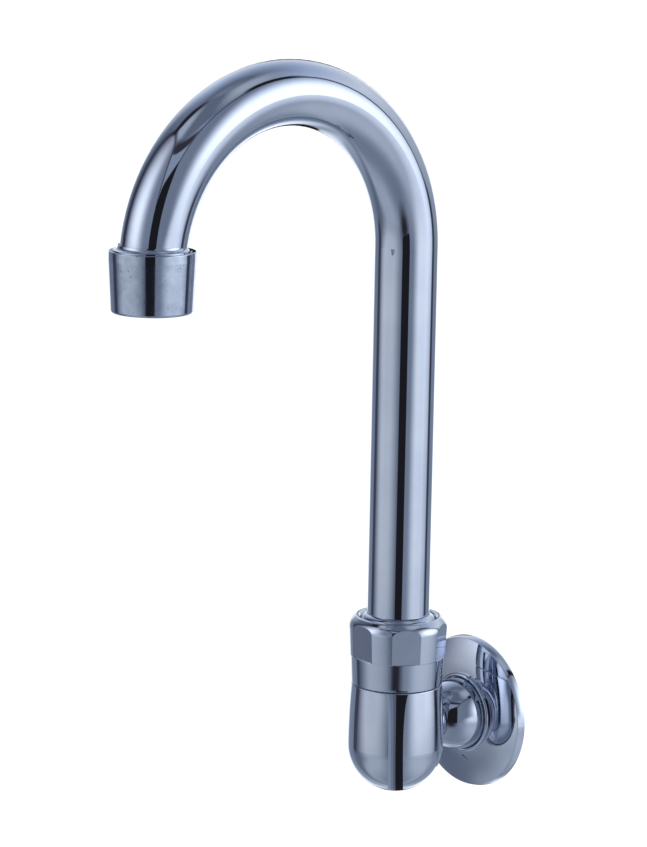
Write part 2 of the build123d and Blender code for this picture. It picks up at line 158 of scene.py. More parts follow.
def lathe_place(tree: bpy.types.NodeTree, axis: Axis) -> bpy.types.NodeSocket:
    """Give the place on a turned piece as distance from its axis and height along it.

    Noise that reads it makes rings.

    Args:
        tree: The material's node tree.
        axis: The axis that the piece was turned about.

    Returns:
        Socket with distance, height and zero.
    """
    centre = tuple(-c for c in axis.value)
    place = add_node(tree, "ShaderNodeTexCoord").outputs["Object"]
    centred = add_node(tree, "ShaderNodeMapping", {"Vector": place, "Location": centre})
    parts = add_node(tree, "ShaderNodeSeparateXYZ", {"Vector": centred.outputs["Vector"]}).outputs
    along, across = ("Y", "Z") if axis is Axis.INLET else ("Z", "Y")
    spoke = add_node(tree, "ShaderNodeCombineXYZ", {"X": parts["X"], "Y": parts[across]})
    distance = add_node(tree, "ShaderNodeVectorMath", {0: spoke.outputs["Vector"]}, operation="LENGTH")
    return add_node(
        tree, "ShaderNodeCombineXYZ", {"X": distance.outputs["Value"], "Y": parts[along]}
    ).outputs["Vector"]


def drawn_place(tree: bpy.types.NodeTree) -> bpy.types.NodeSocket:
    """Give the place across the gooseneck's tube, the same all along its run.

    Noise that reads it makes drawing lines.

    Args:
        tree: The material's node tree.

    Returns:
        Socket with the two distances across the tube and zero.
    """
    centre = (0.0, (SWIVEL_FROM_WALL + OUTLET_FROM_WALL) / 2, -BEND_CENTRE_HEIGHT)
    place = add_node(tree, "ShaderNodeTexCoord").outputs["Object"]
    centred = add_node(tree, "ShaderNodeMapping", {"Vector": place, "Location": centre})
    parts = add_node(tree, "ShaderNodeSeparateXYZ", {"Vector": centred.outputs["Vector"]}).outputs
    above = add_node(tree, "ShaderNodeMath", {0: parts["Z"], 1: 0.0}, operation="MAXIMUM")
    spoke = add_node(tree, "ShaderNodeCombineXYZ", {"X": parts["Y"], "Y": above.outputs["Value"]})
    distance = add_node(tree, "ShaderNodeVectorMath", {0: spoke.outputs["Vector"]}, operation="LENGTH")
    return add_node(
        tree, "ShaderNodeCombineXYZ", {"X": parts["X"], "Y": distance.outputs["Value"]}
    ).outputs["Vector"]


@dataclass(frozen=True)
class Relief:
    """One layer of a surface's fine shape, as a noise of a real grain and depth."""

    grain_mm: float
    depth_mm: float
    detail: float = 2.0
    stretch: tuple[float, float, float] = NO_STRETCH
    finer_share: float = 0.45  # strength of each finer octave

    def layer(
        self, tree: bpy.types.NodeTree, place: bpy.types.NodeSocket, under: bpy.types.NodeSocket | None = None
    ) -> bpy.types.NodeSocket:
        """Lay the relief over another one.

        Args:
            tree: The material's node tree.
            place: Where on the piece the noise is read.
            under: Normal of the relief below.

        Returns:
            Normal of both together.
        """
        stretched = add_node(tree, "ShaderNodeMapping", {"Vector": place, "Scale": self.stretch})
        grain = add_node(
            tree,
            "ShaderNodeTexNoise",
            {
                "Vector": stretched.outputs["Vector"],
                "Scale": 1 / (self.grain_mm * MM),
                "Detail": self.detail,
                "Roughness": self.finer_share,
            },
        )
        inputs = {"Height": grain.outputs["Fac"], "Strength": 1.0, "Distance": self.depth_mm * MM}
        if under is not None:
            inputs["Normal"] = under
        return add_node(tree, "ShaderNodeBump", inputs).outputs["Normal"]


@dataclass(frozen=True)
class Blotches:
    """Two values that a surface drifts between in patches of a real size."""

    size_mm: float
    low: float = 0.35
    high: float = 0.7
    detail: float = 4.0
    finer_share: float = 0.6  # strength of each finer octave

    def share(self, tree: bpy.types.NodeTree, place: bpy.types.NodeSocket) -> bpy.types.NodeSocket:
        """Give how far a place belongs to the second value, from 0 to 1."""
        patches = {
            "Vector": place,
            "Scale": 1 / (self.size_mm * MM),
            "Detail": self.detail,
            "Roughness": self.finer_share,
        }
        noise = add_node(tree, "ShaderNodeTexNoise", patches)
        edges = {"Value": noise.outputs["Fac"], "From Min": self.low, "From Max": self.high}
        return add_node(tree, "ShaderNodeMapRange", edges).outputs["Result"]


def between(
    tree: bpy.types.NodeTree, share: bpy.types.NodeSocket, first: Any, second: Any
) -> bpy.types.NodeSocket:
    """Mix two colours or two numbers by a share.

    Args:
        tree: The material's node tree.
        share: Socket with the share of the second.
        first: Hex colour, number or colour socket.
        second: The same for the second.

    Returns:
        Socket with the mixture.
    """
    if isinstance(second, float):
        ends = {"Value": share, "To Min": first, "To Max": second}
        return add_node(tree, "ShaderNodeMapRange", ends).outputs["Result"]
    first, second = (linear(c) if isinstance(c, str) else c for c in (first, second))
    return add_node(tree, "ShaderNodeMix", {0: share, 6: first, 7: second}, data_type="RGBA").outputs[2]


def surface(tree: bpy.types.NodeTree, inputs: dict[str, Any]) -> None:
    """Close a material with its shader."""
    shader = add_node(tree, "ShaderNodeBsdfPrincipled", inputs)
    add_node(tree, "ShaderNodeOutputMaterial", {"Surface": shader.outputs["BSDF"]})


@dataclass(frozen=True)
class PlatedChrome:
    """Decorative chrome over nickel on polished brass.

    The eye gets a cold mirror with a faint blue cast. It is never quite true: the polishing wheel leaves
    long soft waves that bend the edges of reflections, the tool marks below the plating draw fine lines
    along or round the piece, and the plating leaves a fine skin and a haze in patches.
    """

    name: str
    marks: Marks = Marks.BUFFED
    axis: Axis = Axis.SWIVEL
    tint: str = "#CBD0DC"
    shade: str = "#BFC5D4"
    polish: float = 0.035  # roughness of the clear mirror
    haze: float = 0.03  # how much rougher the hazy patches are
    haze_mm: float = 22.0
    wave: Relief = Relief(11.0, 0.010, detail=1.0, stretch=(1.0, 1.0, 0.25))  # left by the polishing wheel
    mark_mm: float = 0.6  # real marks are 0.1 to 0.2 mm apart, drawn coarser to show at all
    mark_depth_mm: float = 0.0005
    mark_detail: float = 3.0
    buffing_stretch: tuple[float, float, float] = (1.0, 1.0, 0.05)  # buffing marks run up and down
    skin: Relief = Relief(0.7, 0.0004)  # grain of the plating
    worn_edge_mm: float = 0.0  # radius that buffing gave to the sharp edges
    edge_samples: int = 6
    pit_mm: float = 0.0  # pitch of small pits and specks, none where zero
    pit_depth_mm: float = 0.01
    pit_floor: float = 0.05  # where a pit's floor ends and its rim lies, in pitches from its middle
    pit_rim: float = 0.13
    pit_floor_colour: str = "#5C6069"  # darker colour on the floor of each pit

    def material(self) -> bpy.types.Material:
        """Build the node material."""
        material, tree = new_material(self.name)
        place = add_node(tree, "ShaderNodeTexCoord").outputs["Object"]
        share = Blotches(self.haze_mm).share(tree, place)
        colour = between(tree, share, self.tint, self.shade)
        rough = between(tree, share, self.polish, self.polish + self.haze)
        under = None
        if self.worn_edge_mm:
            edge = {"Radius": self.worn_edge_mm * MM}
            under = add_node(tree, "ShaderNodeBevel", edge, samples=self.edge_samples).outputs["Normal"]
        normal = self.wave.layer(tree, place, under)
        lines, stretch = place, self.buffing_stretch
        if self.marks is Marks.DRAWN:
            lines, stretch = drawn_place(tree), NO_STRETCH
        elif self.marks is Marks.TURNED:
            lines, stretch = lathe_place(tree, self.axis), NO_STRETCH
        marked = Relief(self.mark_mm, self.mark_depth_mm, self.mark_detail, stretch)
        normal = self.skin.layer(tree, place, marked.layer(tree, lines, normal))
        if self.pit_mm:
            cells = add_node(tree, "ShaderNodeTexVoronoi", {"Vector": place, "Scale": 1 / (self.pit_mm * MM)})
            depth = {"Value": cells.outputs["Distance"], "From Min": self.pit_floor, "From Max": self.pit_rim}
            clear = add_node(tree, "ShaderNodeMapRange", depth, interpolation_type=SMOOTH).outputs["Result"]
            pits = {"Height": clear, "Normal": normal, "Strength": 1.0, "Distance": self.pit_depth_mm * MM}
            normal = add_node(tree, "ShaderNodeBump", pits).outputs["Normal"]
            # each pit is darker on its floor
            colour = between(tree, clear, self.pit_floor_colour, colour)
        surface(tree, {"Base Color": colour, "Metallic": 1.0, "Roughness": rough, "Normal": normal})
        return material


@dataclass(frozen=True)
class TurnedBrass:
    """Free-cutting brass as the lathe leaves it.

    The eye gets a warm yellow metal with fine rings of the cutting tool, a little browner in patches
    where hands and flux touched it.
    """

    name: str
    axis: Axis
    fresh: str = "#DDBC74"
    tarnished: str = "#B08A4E"
    rings: Relief = Relief(0.35, 0.004, detail=3.0)  # feed of 0.1 mm per turn, drawn coarser to show
    grain: Relief = Relief(0.25, 0.0015)
    stain: Blotches = Blotches(6.0, 0.4, 0.75)
    clean_roughness: float = 0.2
    stained_roughness: float = 0.38

    def material(self) -> bpy.types.Material:
        """Build the node material."""
        material, tree = new_material(self.name)
        place = add_node(tree, "ShaderNodeTexCoord").outputs["Object"]
        share = self.stain.share(tree, place)
        rings = self.rings.layer(tree, lathe_place(tree, self.axis))
        surface(
            tree,
            {
                "Base Color": between(tree, share, self.fresh, self.tarnished),
                "Metallic": 1.0,
                "Roughness": between(tree, share, self.clean_roughness, self.stained_roughness),
                "Normal": self.grain.layer(tree, place, rings),
            },
        )
        return material


@dataclass(frozen=True)
class MouldedRubber:
    """Nitrile rubber from a polished mould.

    The eye gets a near black with a dull sheen, a faint grey bloom in patches and a fine even grain.
    """

    name: str
    black: str = "#161617"
    bloom: str = "#2B2C2E"
    grain: Relief = Relief(0.18, 0.006)
    patches: Blotches = Blotches(3.5, 0.4, 0.8)
    black_roughness: float = 0.42
    bloom_roughness: float = 0.62
    ior: float = 1.52

    def material(self) -> bpy.types.Material:
        """Build the node material."""
        material, tree = new_material(self.name)
        place = add_node(tree, "ShaderNodeTexCoord").outputs["Object"]
        share = self.patches.share(tree, place)
        surface(
            tree,
            {
                "Base Color": between(tree, share, self.black, self.bloom),
                "Roughness": between(tree, share, self.black_roughness, self.bloom_roughness),
                "IOR": self.ior,
                "Normal": self.grain.layer(tree, place),
            },
        )
        return material


@dataclass(frozen=True)
class CellFoam:
    """Closed-cell foam rubber, cut from sheet.

    The eye gets a soft charcoal without any gloss, pricked all over by the cut cells, whose hollows are
    darkened with painted shade.
    """

    name: str
    wall: str = "#3A3B3D"
    # painted shade: the colour deep in each cut cell
    shaded_hollow: str = "#17181A"
    cell_mm: float = 0.55
    cell_depth_mm: float = 0.12
    cell_floor: float = 0.15  # where a cell's floor ends and its wall stands, in cells from its middle
    cell_wall: float = 0.55
    unevenness: Relief = Relief(4.0, 0.05)
    hollow_roughness: float = 0.95
    wall_roughness: float = 0.82

    def material(self) -> bpy.types.Material:
        """Build the node material."""
        material, tree = new_material(self.name)
        place = add_node(tree, "ShaderNodeTexCoord").outputs["Object"]
        cells = add_node(tree, "ShaderNodeTexVoronoi", {"Vector": place, "Scale": 1 / (self.cell_mm * MM)})
        depth = {"Value": cells.outputs["Distance"], "From Min": self.cell_floor, "From Max": self.cell_wall}
        wall = add_node(tree, "ShaderNodeMapRange", depth, interpolation_type=SMOOTH).outputs["Result"]
        pricked = {"Height": wall, "Strength": 1.0, "Distance": self.cell_depth_mm * MM}
        normal = add_node(tree, "ShaderNodeBump", pricked).outputs["Normal"]
        surface(
            tree,
            {
                # painted shade darkens each cut cell from its wall towards its middle
                "Base Color": between(tree, wall, self.shaded_hollow, self.wall),
                "Roughness": between(tree, wall, self.hollow_roughness, self.wall_roughness),
                "Normal": self.unevenness.layer(tree, place, normal),
            },
        )
        return material


@dataclass(frozen=True)
class MouldedAcetal:
    """Acetal resin, injection moulded.

    The eye gets a milky, slightly see-through white with a satin skin from the spark-eroded mould and
    faint flow marks where the melt met.
    """

    name: str
    milk: str = "#E8E9E4"
    flow: str = "#DCDFDD"
    flow_mm: float = 5.0
    skin: Relief = Relief(0.16, 0.004)
    sink: Relief = Relief(2.5, 0.01)
    milk_roughness: float = 0.32
    flow_roughness: float = 0.46
    ior: float = 1.48
    see_through: float = 0.2
    light_reach_m: tuple[float, float, float] = (0.0012, 0.0011, 0.001)  # of red, green and blue
    light_reach_share: float = 0.5

    def material(self) -> bpy.types.Material:
        """Build the node material."""
        material, tree = new_material(self.name)
        place = add_node(tree, "ShaderNodeTexCoord").outputs["Object"]
        share = Blotches(self.flow_mm).share(tree, place)
        surface(
            tree,
            {
                "Base Color": between(tree, share, self.milk, self.flow),
                "Roughness": between(tree, share, self.milk_roughness, self.flow_roughness),
                "IOR": self.ior,
                "Subsurface Weight": self.see_through,
                "Subsurface Radius": self.light_reach_m,
                "Subsurface Scale": self.light_reach_share,
                "Normal": self.skin.layer(tree, place, self.sink.layer(tree, place)),
            },
        )
        return material


@dataclass(frozen=True)
class DrawnStainless:
    """Stainless steel wire, drawn and woven.

    The eye gets a warm grey metal, bright on the crowns of the weave and duller between them.
    """

    name: str
    bright: str = "#C3C2BF"
    dull: str = "#93928F"
    lines: Relief = Relief(0.08, 0.002)
    lime: Blotches = Blotches(1.4, 0.4, 0.7)
    bright_roughness: float = 0.24
    dull_roughness: float = 0.42

    def material(self) -> bpy.types.Material:
        """Build the node material."""
        material, tree = new_material(self.name)
        place = add_node(tree, "ShaderNodeTexCoord").outputs["Object"]
        share = self.lime.share(tree, place)
        surface(
            tree,
            {
                "Base Color": between(tree, share, self.bright, self.dull),
                "Metallic": 1.0,
                "Roughness": between(tree, share, self.bright_roughness, self.dull_roughness),
                "Normal": self.lines.layer(tree, place),
            },
        )
        return material


# ---------------------------------------------------------------- studio


class Tone(Enum):
    """Cloths and papers that the tent is hung with. Each value is a colour in sRGB."""

    SILK = "#EEF6FF"
    WASHED_BLUE = "#C2D2EC"
    PEARL = "#BBC5D1"
    MIST = "#8C98A9"
    SLATE = "#707A8C"
    GRAPHITE = "#4A4F5E"
    SOOT = "#38363F"
    FELT = "#242428"
    NAVY = "#0D0D40"


@dataclass(frozen=True)
class Panel:
    """One light, flag or cloth of the tent, as it is seen from the faucet. All angles are in degrees."""

    name: str
    azimuth: float  # of its middle, from the camera's side, positive to the camera's right
    elevation: float
    half_width: float
    above: float  # how far it reaches above and below its middle
    below: float
    tone: Tone
    strength: float = 1.0  # light on it, where 1 shows its own colour
    roundness: float = 2.0  # 2 is an ellipse, and a high number is a rectangle
    softness: float = 0.03  # share of its size over which its edge fades
    lean: float = 0.0  # sideways shift per degree of height
    tilt: float = 0.0  # rise per degree to the right
    within: str = ""  # the panel that this one lights from behind, and ends with

    def glow(self) -> tuple[float, float, float, float]:
        """Give the light that comes off it."""
        red, green, blue, alpha = linear(self.tone.value)
        return red * self.strength, green * self.strength, blue * self.strength, alpha

    def cover(
        self, tree: bpy.types.NodeTree, azimuth: bpy.types.NodeSocket, elevation: bpy.types.NodeSocket
    ) -> bpy.types.NodeSocket:
        """Work out where the panel covers what lies behind it.

        Args:
            tree: The world's node tree.
            azimuth: Socket with the direction's azimuth in degrees.
            elevation: Socket with its elevation in degrees.

        Returns:
            Socket that is one on the panel and zero beside it.
        """
        kind = "ShaderNodeMath"
        turned = add_node(tree, kind, {0: azimuth, 1: self.azimuth}, operation="SUBTRACT").outputs[0]
        aside = add_node(tree, kind, {0: turned, 1: 180.0, 2: -180.0}, operation="WRAP").outputs[0]
        rise = add_node(tree, kind, {0: elevation, 1: self.elevation}, operation="SUBTRACT").outputs[0]
        if self.tilt:
            tilted = {0: aside, 1: -self.tilt, 2: rise}
            rise = add_node(tree, kind, tilted, operation="MULTIPLY_ADD").outputs[0]
        if self.lean:
            leant = {0: rise, 1: -self.lean, 2: aside}
            aside = add_node(tree, kind, leant, operation="MULTIPLY_ADD").outputs[0]
        either_side = add_node(tree, kind, {0: aside}, operation="ABSOLUTE").outputs[0]
        width = add_node(tree, kind, {0: either_side, 1: self.half_width}, operation="DIVIDE").outputs[0]
        up = add_node(tree, kind, {0: rise, 1: self.above}, operation="DIVIDE").outputs[0]
        down = add_node(tree, kind, {0: rise, 1: -self.below}, operation="DIVIDE").outputs[0]
        height = add_node(tree, kind, {0: up, 1: down}, operation="MAXIMUM").outputs[0]
        across = add_node(tree, kind, {0: width, 1: self.roundness}, operation="POWER").outputs[0]
        upright = add_node(tree, kind, {0: height, 1: self.roundness}, operation="POWER").outputs[0]
        both = add_node(tree, kind, {0: across, 1: upright}, operation="ADD").outputs[0]
        reach = add_node(tree, kind, {0: both, 1: 1 / self.roundness}, operation="POWER").outputs[0]
        edge = {"Value": reach, "From Min": 1 + self.softness, "From Max": 1 - self.softness}
        return add_node(tree, "ShaderNodeMapRange", edge, interpolation_type=SMOOTH).outputs["Result"]


FRONT_CLOTHS = (
    Panel(
        "left_haze", -122.0, 18.0, 26.0, 50.0, 22.0, Tone.SLATE, 0.9, roundness=2.5, softness=0.6, lean=0.25
    ),
    Panel("left_flag", -71.0, 0.0, 60.0, 60.0, 6.0, Tone.GRAPHITE, 0.9, roundness=2.5, lean=0.05),
    Panel("flag_corner", -101.0, 63.0, 14.0, 14.0, 13.0, Tone.FELT, 1.3, softness=0.4, lean=-0.4),
    Panel("left_cloth", -67.0, 0.0, 54.0, 57.8, 36.0, Tone.NAVY, roundness=2.5, softness=0.02),
    Panel("left_lamp", -67.0, 18.0, 30.0, 32.0, 34.0, Tone.SILK, 1.6, softness=0.9, within="left_cloth"),
    Panel("left_lamp_dim", -22.0, 18.0, 24.0, 46.0, 40.0, Tone.MIST, softness=0.9, within="left_cloth"),
    Panel("left_lamp_low", -60.0, -8.0, 28.0, 9.0, 16.0, Tone.SILK, 0.8, softness=0.8, within="left_cloth"),
    Panel("right_flag", 57.0, 0.0, 55.5, 55.0, 10.0, Tone.GRAPHITE, 1.35, roundness=2.7, softness=0.02),
    Panel("right_corner", 84.0, 50.0, 17.0, 7.0, 9.0, Tone.FELT, softness=0.3, tilt=-0.3),
    Panel("right_cloth", 57.0, 0.0, 51.5, 51.3, 36.0, Tone.SLATE, 1.3, roundness=2.7, softness=0.02),
    Panel("right_lamp", 81.0, 11.0, 25.0, 22.0, 22.0, Tone.SILK, 2.2, softness=0.9, within="right_cloth"),
    Panel("right_lamp_dim", 14.0, 18.0, 30.0, 46.0, 40.0, Tone.MIST, 0.9, softness=0.9, within="right_cloth"),
    Panel("right_lamp_low", 57.0, -8.0, 19.0, 8.0, 16.0, Tone.SILK, 1.3, softness=0.8, within="right_cloth"),
)
CEILING = (
    Panel("front_ceiling", 0.0, 90.0, 112.0, 30.0, 36.0, Tone.SLATE, roundness=6.0, softness=0.12),
    Panel("ceiling_right", 84.0, 67.0, 36.0, 14.0, 12.0, Tone.PEARL, softness=0.7),
    Panel("ceiling_left", -66.0, 64.0, 30.0, 12.0, 12.0, Tone.PEARL, softness=0.6),
    Panel(
        "ceiling_edge", -6.0, 51.5, 40.0, 4.0, 5.0, Tone.SOOT, 1.2, roundness=3.0, softness=0.5, tilt=-0.12
    ),
    Panel(
        "ceiling_gap", -8.0, 42.0, 28.0, 6.0, 14.0, Tone.MIST, 1.25, roundness=5.0, softness=0.1, tilt=-0.12
    ),
)
FLOOR = (
    Panel("front_floor", 5.0, -60.0, 128.0, 34.0, 40.0, Tone.MIST, roundness=4.0, softness=0.32),
    Panel("floor_left", -48.0, -34.0, 34.0, 16.0, 34.0, Tone.PEARL, softness=0.8),
    Panel("floor_right", 56.0, -34.0, 40.0, 18.0, 34.0, Tone.PEARL, 1.15, softness=0.8),
    Panel("left_shade", -104.0, -30.0, 24.0, 14.0, 24.0, Tone.SLATE, softness=0.8),
    Panel("left_flag_low", -114.0, -11.0, 7.5, 8.0, 9.0, Tone.GRAPHITE, roundness=3.0, softness=0.25),
    Panel("right_flag_low", 114.5, -9.0, 6.5, 10.0, 9.0, Tone.GRAPHITE, 0.9, roundness=3.0, softness=0.25),
)
BACK = (
    Panel("back_lamp_left", -166.0, -14.0, 10.0, 26.0, 34.0, Tone.SILK, 1.3, softness=0.7),
    Panel("back_lamp_right", 166.0, -14.0, 10.0, 26.0, 34.0, Tone.SILK, 1.6, softness=0.7),
    Panel("back_gap", 180.0, -12.0, 5.5, 26.0, 24.0, Tone.FELT, roundness=6.0, softness=0.12),
)
DARK_ROOM = (
    Panel("dark_floor_far", 4.0, -34.0, 24.0, 16.0, 40.0, Tone.MIST, 0.9, softness=0.9),
    Panel("dark_floor", -3.0, -19.0, 13.0, 7.0, 12.0, Tone.SOOT, 0.8, softness=0.7),
    Panel("dark_room_low", -0.6, -8.0, 13.2, 10.0, 7.6, Tone.FELT, roundness=8.0, softness=0.04),
    Panel("dark_room", -0.6, 5.0, 13.2, 30.5, 14.0, Tone.FELT, roundness=7.0, softness=0.05, tilt=0.27),
)
TENT = CEILING + FRONT_CLOTHS + FLOOR + BACK + DARK_ROOM  # each panel hangs in front of those before it


@dataclass
class Studio:
    """Light tent, pale floor and camera, as the photo and its reflections show them."""

    camera_place: Vector = field(default_factory=lambda: Vector((0.8014, -0.7568, 0.3125)))
    camera_aim: Vector = field(default_factory=lambda: Vector((-0.01842, -0.05751, 0.10897)))
    camera_lens: float = 133.57
    camera_roll: float = 1.02
    gather_below: float = 10.7  # degrees below the level at which the cloths are gathered
    fold_ends: float = 0.5  # how far behind the faucet the gathering has ended, as a sine
    floor_height: float = -2.0
    floor_size: float = 60.0
    bulb_centre: tuple[float, float, float] = (0.0, -SWIVEL_FROM_WALL, -5.9 * MM)
    bulb_radius: float = 17.5 * MM
    camera_above_bulb: float = 16.5  # degrees
    ribbon_radius: float = 30.0 * MM
    ribbon_lean: float = 0.035
    ribbon_reach: float = 26.0 * MM
    ribbon_from: float = -38.0  # degrees below the level at which the ribbons start and end
    ribbon_to: float = 80.0
    ribbon_steps: int = 32
    ribbons: tuple[tuple[str, float, float, str], ...] = (
        ("pale_ribbon", -0.16, -0.10, "#98A4B4"),
        ("grey_ribbon", -0.10, -0.05, "#808C9C"),
        ("dark_ribbon", -0.05, -0.005, "#677080"),
        ("black_ribbon", -0.005, 0.155, "#232327"),
    )
    sky: tuple[tuple[float, Tone], ...] = (
        (-90.0, Tone.PEARL),
        (-60.0, Tone.PEARL),
        (-22.0, Tone.MIST),
        (-8.0, Tone.MIST),
        (6.0, Tone.PEARL),
        (26.0, Tone.SILK),
        (44.0, Tone.WASHED_BLUE),
        (72.0, Tone.SLATE),
        (90.0, Tone.MIST),
    )
    sensor_width: float = 36.0
    nearest: float = 0.01
    farthest: float = 200.0
    paper_light: float = 1.1  # a little over white, so that the paper shows pure white

    @property
    def camera_azimuth(self) -> float:
        """Give the camera's azimuth about the swivel axis in degrees, from the way the spout points."""
        return math.degrees(math.atan2(self.camera_place.x, -self.camera_place.y - SWIVEL_FROM_WALL))

    def camera(self) -> None:
        """Place the camera as the photo's outlines give it."""
        data = bpy.data.cameras.new("camera")
        data.lens = self.camera_lens
        data.sensor_width = self.sensor_width
        data.clip_start, data.clip_end = self.nearest, self.farthest
        thing = bpy.data.objects.new("camera", data)
        turn = (self.camera_aim - self.camera_place).to_track_quat("-Z", "Y")
        thing.rotation_mode = "QUATERNION"
        thing.rotation_quaternion = turn @ Quaternion((0, 0, 1), math.radians(self.camera_roll))
        thing.location = self.camera_place
        bpy.context.scene.collection.objects.link(thing)
        bpy.context.scene.camera = thing

    def floor(self) -> None:
        """Lay a plain white floor well below the faucet, which only the camera sees."""
        paper, tree = new_material("white_paper")
        white = {"Color": linear("#FFFFFF"), "Strength": self.paper_light}
        light = add_node(tree, "ShaderNodeEmission", white)
        add_node(tree, "ShaderNodeOutputMaterial", {"Surface": light.outputs["Emission"]})
        mesh = bpy.data.meshes.new("pale_floor")
        shape = bmesh.new()
        bmesh.ops.create_grid(shape, x_segments=1, y_segments=1, size=self.floor_size / 2)
        bmesh.ops.translate(shape, vec=(0, 0, self.floor_height), verts=shape.verts)
        shape.to_mesh(mesh)
        shape.free()
        mesh.materials.append(paper)
        thing = bpy.data.objects.new("pale_floor", mesh)
        bpy.context.scene.collection.objects.link(thing)
        thing.visible_glossy = thing.visible_diffuse = thing.visible_shadow = False

    def felt(self, name: str, colour: str, reach: float) -> bpy.types.Material:
        """Make felt that is seen only from close by.

        Args:
            name: The material's name.
            colour: Its colour in sRGB.
            reach: Longest distance in metres from which a reflection shows it.

        Returns:
            The material.
        """
        felt, tree = new_material(name)
        light = add_node(tree, "ShaderNodeEmission", {"Color": linear(colour)}).outputs["Emission"]
        clear = add_node(tree, "ShaderNodeBsdfTransparent").outputs["BSDF"]
        length = add_node(tree, "ShaderNodeLightPath").outputs["Ray Length"]
        far = add_node(tree, "ShaderNodeMath", {0: length, 1: reach}, operation="GREATER_THAN").outputs[0]
        shown = add_node(tree, "ShaderNodeMixShader", {0: far, 1: light, 2: clear})
        add_node(tree, "ShaderNodeOutputMaterial", {"Surface": shown.outputs["Shader"]})
        return felt

    def hang(self, name: str, shape: bmesh.types.BMesh, felt: bpy.types.Material) -> None:
        """Hang a card or ribbon that only reflections see.

        Args:
            name: The card's name.
            shape: Its shape in place, which is freed.
            felt: Its material.
        """
        mesh = bpy.data.meshes.new(name)
        shape.to_mesh(mesh)
        shape.free()
        mesh.materials.append(felt)
        thing = bpy.data.objects.new(name, mesh)
        bpy.context.scene.collection.objects.link(thing)
        thing.visible_camera = thing.visible_diffuse = thing.visible_shadow = False

    def ribbon(self, name: str, left: float, right: float, colour: str) -> None:
        """Sling a narrow ribbon close under the body, so that its stripes run on over the round end.

        Its edges lie where a ball's rays to the camera side meet a larger ball round it.

        Args:
            name: The ribbon's name.
            left: Sine of the angle that its left edge lies at, as seen in the body.
            right: The same for its right edge.
            colour: Its colour in sRGB.
        """
        shape = bmesh.new()
        bmesh.ops.create_grid(shape, x_segments=1, y_segments=self.ribbon_steps, size=0.5)
        turn = Matrix.Rotation(math.radians(self.camera_azimuth), 3, "Z")
        rise = math.radians(self.camera_above_bulb)
        view = Vector((0.0, -math.cos(rise), math.sin(rise)))
        for corner in shape.verts:
            way = corner.co.y + 0.5
            aside = (left if corner.co.x < 0 else right) + self.ribbon_lean * way
            pitch = math.radians(self.ribbon_from + (self.ribbon_to - self.ribbon_from) * way)
            level = math.sqrt(1 - aside**2)
            normal = Vector((aside, -level * math.cos(pitch), -level * math.sin(pitch)))
            ray = 2 * normal.dot(view) * normal - view
            start = normal * self.bulb_radius
            outward = start.dot(ray)
            way_out = math.sqrt(outward**2 - start.length_squared + self.ribbon_radius**2) - outward
            corner.co = Vector(self.bulb_centre) + turn @ (start + ray * way_out)
        self.hang(name, shape, self.felt(name, colour, self.ribbon_reach))

    def directions(self, tree: bpy.types.NodeTree) -> tuple[bpy.types.NodeSocket, bpy.types.NodeSocket]:
        """Work out where a ray looks in the tent.

        In front and below the edge the cloths are gathered to a point under the faucet, so that they stay
        upright bands there.

        Args:
            tree: The world's node tree.

        Returns:
            Sockets with azimuth from the camera's side and elevation, in degrees.
        """
        kind = "ShaderNodeMath"
        from_camera = {
            "Vector": add_node(tree, "ShaderNodeTexCoord").outputs["Generated"],
            "Angle": math.radians(-self.camera_azimuth),
        }
        turned = add_node(tree, "ShaderNodeVectorRotate", from_camera, rotation_type="Z_AXIS").outputs[0]
        parts = add_node(tree, "ShaderNodeSeparateXYZ", {"Vector": turned}).outputs
        forward = add_node(tree, kind, {0: parts["Y"], 1: -1.0}, operation="MULTIPLY").outputs[0]
        around = add_node(tree, kind, {0: parts["X"], 1: forward}, operation="ARCTAN2").outputs[0]
        rise = add_node(tree, kind, {0: parts["Z"]}, operation="ARCSINE").outputs[0]
        elevation = add_node(tree, kind, {0: rise}, operation="DEGREES").outputs[0]

        edge = math.radians(self.gather_below)
        half_way = {0: turned, 1: (0.0, -math.cos(edge), math.sin(edge))}
        gathered = add_node(tree, "ShaderNodeVectorMath", half_way, operation="ADD").outputs["Vector"]
        length = add_node(tree, "ShaderNodeVectorMath", {0: gathered}, operation="LENGTH").outputs["Value"]
        sine = add_node(tree, kind, {0: parts["X"], 1: length}, operation="DIVIDE").outputs[0]
        half = add_node(tree, kind, {0: sine}, operation="ARCSINE").outputs[0]
        folded = add_node(tree, kind, {0: half, 1: 2.0}, operation="MULTIPLY").outputs[0]

        behind = {"Value": parts["Y"], "From Min": self.fold_ends, "From Max": 0.0}
        ahead = add_node(tree, "ShaderNodeMapRange", behind, interpolation_type=SMOOTH).outputs["Result"]
        below = add_node(tree, kind, {0: elevation, 1: -self.gather_below}, operation="LESS_THAN").outputs[0]
        low = add_node(tree, kind, {0: below, 1: ahead}, operation="MULTIPLY").outputs[0]
        angle = add_node(tree, "ShaderNodeMix", {0: low, 2: around, 3: folded}).outputs[0]
        return add_node(tree, kind, {0: angle}, operation="DEGREES").outputs[0], elevation

    def backdrop(self, tree: bpy.types.NodeTree, elevation: bpy.types.NodeSocket) -> bpy.types.NodeSocket:
        """Lay the plain walls that the panels hang before, shaded from floor to ceiling.

        Args:
            tree: The world's node tree.
            elevation: Socket with the direction's elevation in degrees.

        Returns:
            Socket with their colour.
        """
        ends = {"Value": elevation, "From Min": -90.0, "From Max": 90.0}
        height = add_node(tree, "ShaderNodeMapRange", ends).outputs["Result"]
        walls = add_node(tree, "ShaderNodeValToRGB", {"Fac": height})
        stops = walls.color_ramp.elements
        stops[1].position = 1.0
        for _ in self.sky[2:]:
            stops.new(0.5)
        for stop, (angle, tone) in zip(stops, self.sky):
            stop.position = (angle + 90) / 180
            stop.color = linear(tone.value)
        return walls.outputs["Color"]

